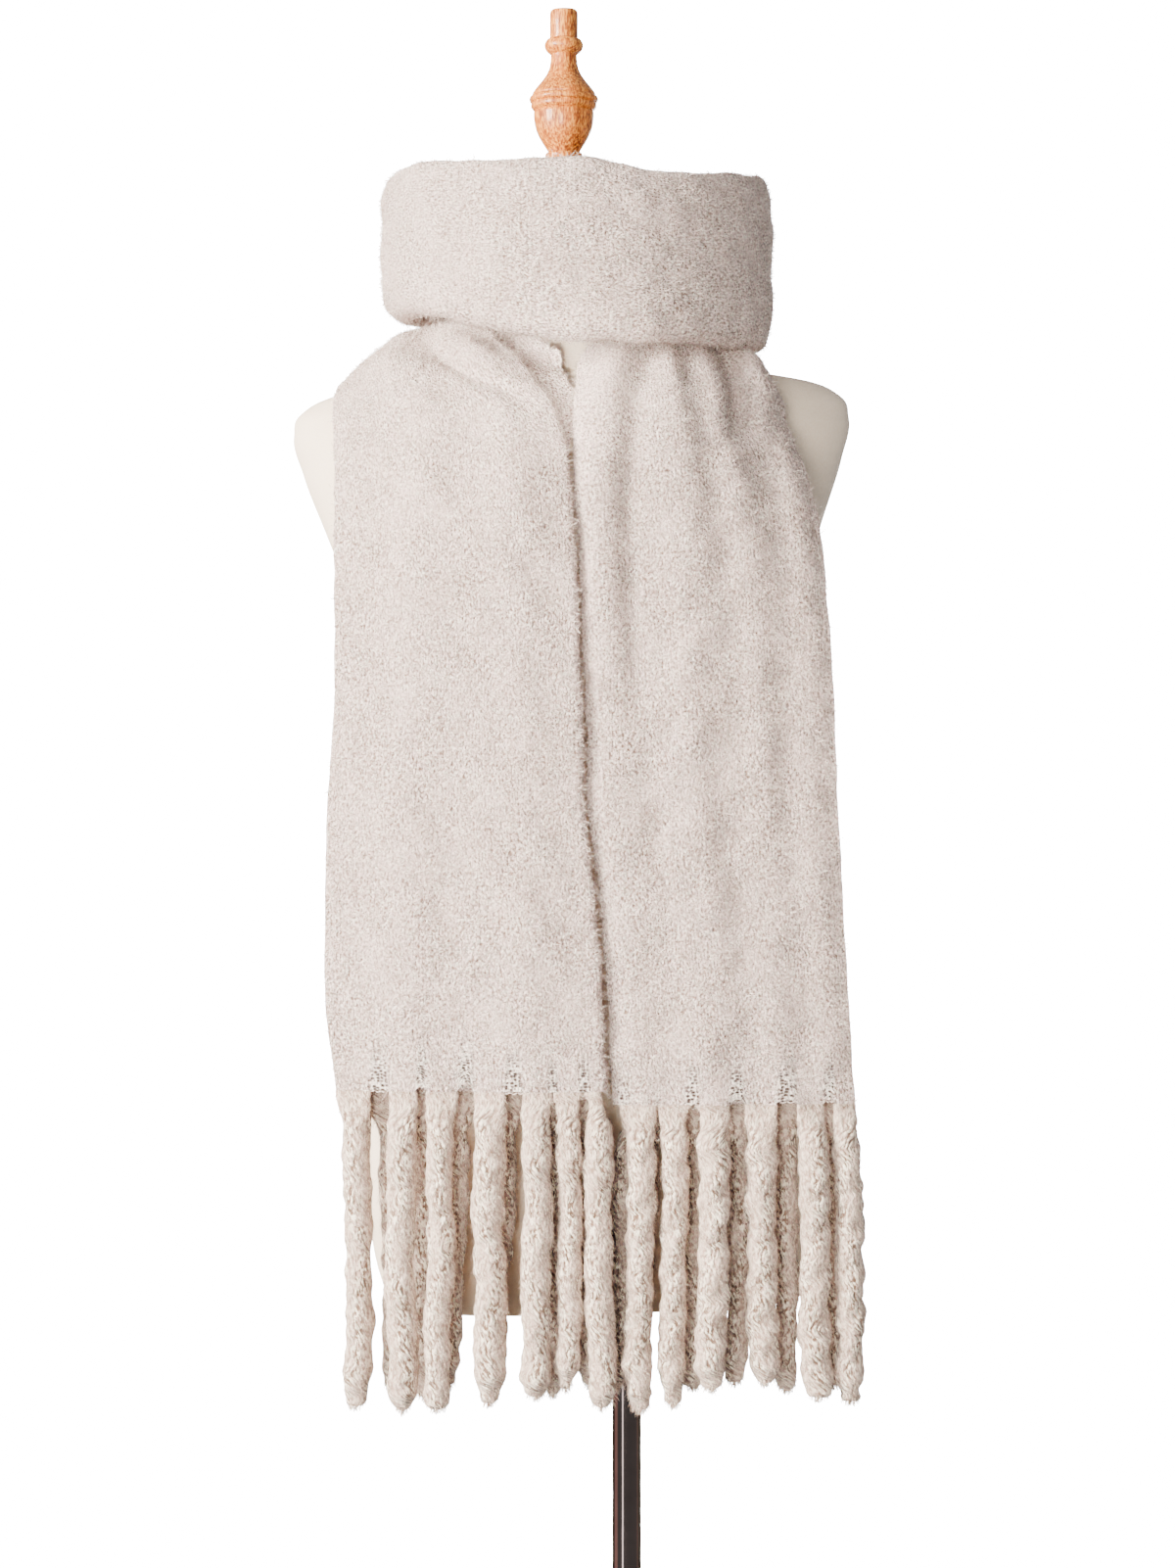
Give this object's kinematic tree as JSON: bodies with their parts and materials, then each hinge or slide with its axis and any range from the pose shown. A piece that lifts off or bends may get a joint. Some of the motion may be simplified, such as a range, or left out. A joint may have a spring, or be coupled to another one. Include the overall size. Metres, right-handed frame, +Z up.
{
  "type": "blanket scarf on a limbless dress form",
  "caption": "Thick brushed blanket scarf with twisted fringe, wound round the neck of a limbless dress form on a pole and round base.",
  "frame": {"origin": "centre of the base plate's underside, on the pole's axis", "axes": "+Z up along the pole, -Y towards the viewer, +X to the viewer's right"},
  "size_m": [0.3913, 0.32, 1.42],
  "materials": {
    "brushed_cloth": "thick brushed weave with a long soft nap",
    "fringe_yarn": "twisted fuzzy yarn",
    "form_cover": "fine plain-woven cover, drawn smooth",
    "lacquered_wood": "glossy lacquer",
    "polished_pole": "polished",
    "base_finish": "satin dark coat"
  },
  "bodies": {
    "root": {"neck_band": "brushed_cloth", "left_end": "brushed_cloth", "right_end": "brushed_cloth", "fringe_left_front": "fringe_yarn", "fringe_left_back": "fringe_yarn", "fringe_right_front": "fringe_yarn", "fringe_right_back": "fringe_yarn", "form_torso": "form_cover", "neck_cap": "lacquered_wood", "finial": "lacquered_wood", "pole": "polished_pole", "pole_socket": "polished_pole", "base_plate": "base_finish"}
  },
  "joints": []
}
